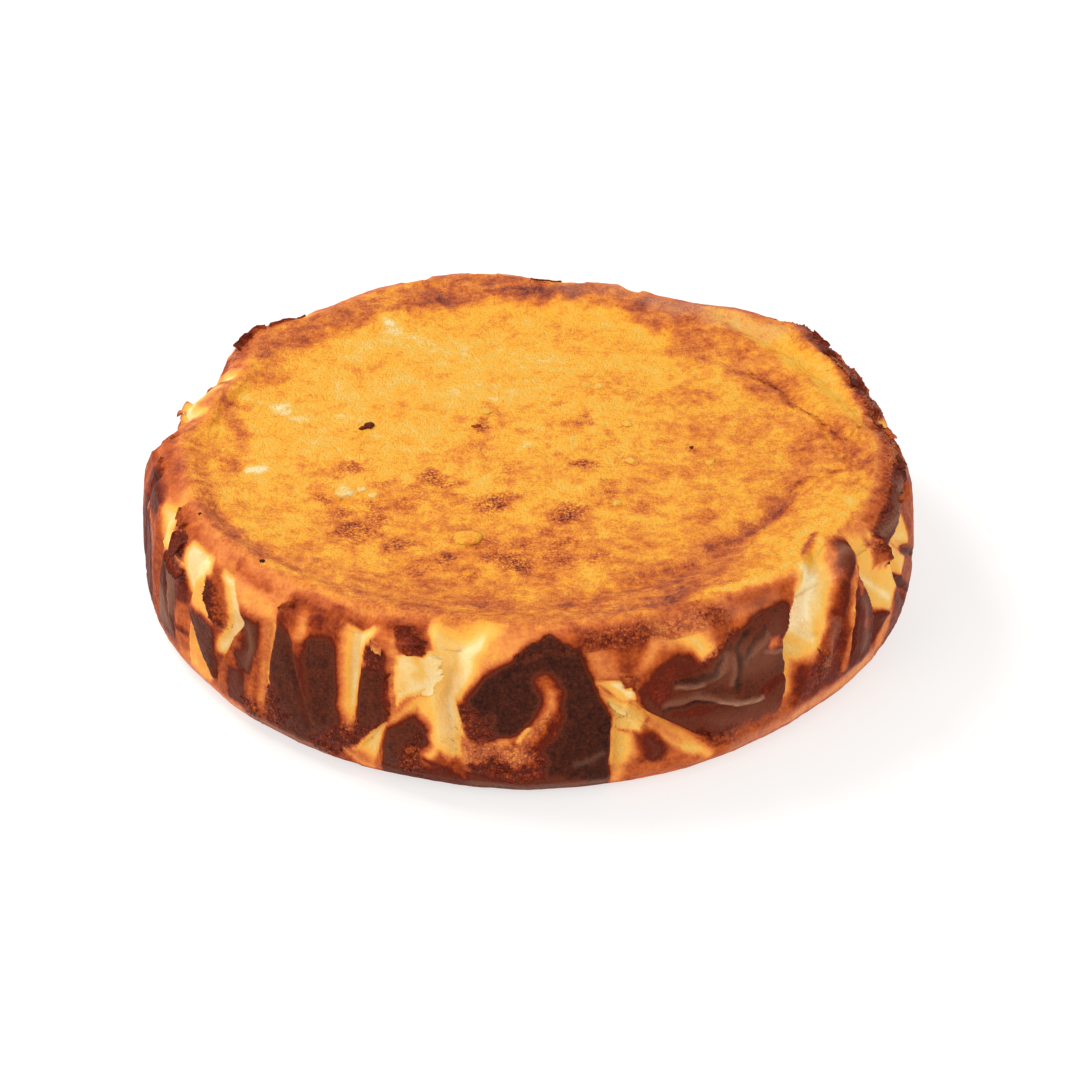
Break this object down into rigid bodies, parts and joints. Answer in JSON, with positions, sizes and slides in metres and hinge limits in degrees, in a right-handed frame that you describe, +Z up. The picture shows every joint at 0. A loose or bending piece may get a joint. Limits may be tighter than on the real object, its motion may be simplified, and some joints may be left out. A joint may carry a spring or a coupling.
{
  "type": "burnt cheesecake",
  "caption": "Whole round baked cheesecake with a dished golden top, raised brown rim and pleated, burnt side, standing on a flat base.",
  "frame": {"origin": "middle of the flat base, on the cake's upright axis", "axes": "+Z up out of the top of the cake, -Y towards the side seen from the front, +X to the right of that side"},
  "size_m": [0.2381, 0.2399, 0.0518],
  "materials": {
    "baked_crust": "satin"
  },
  "bodies": {
    "root": {"cheesecake": "baked_crust"}
  },
  "joints": []
}
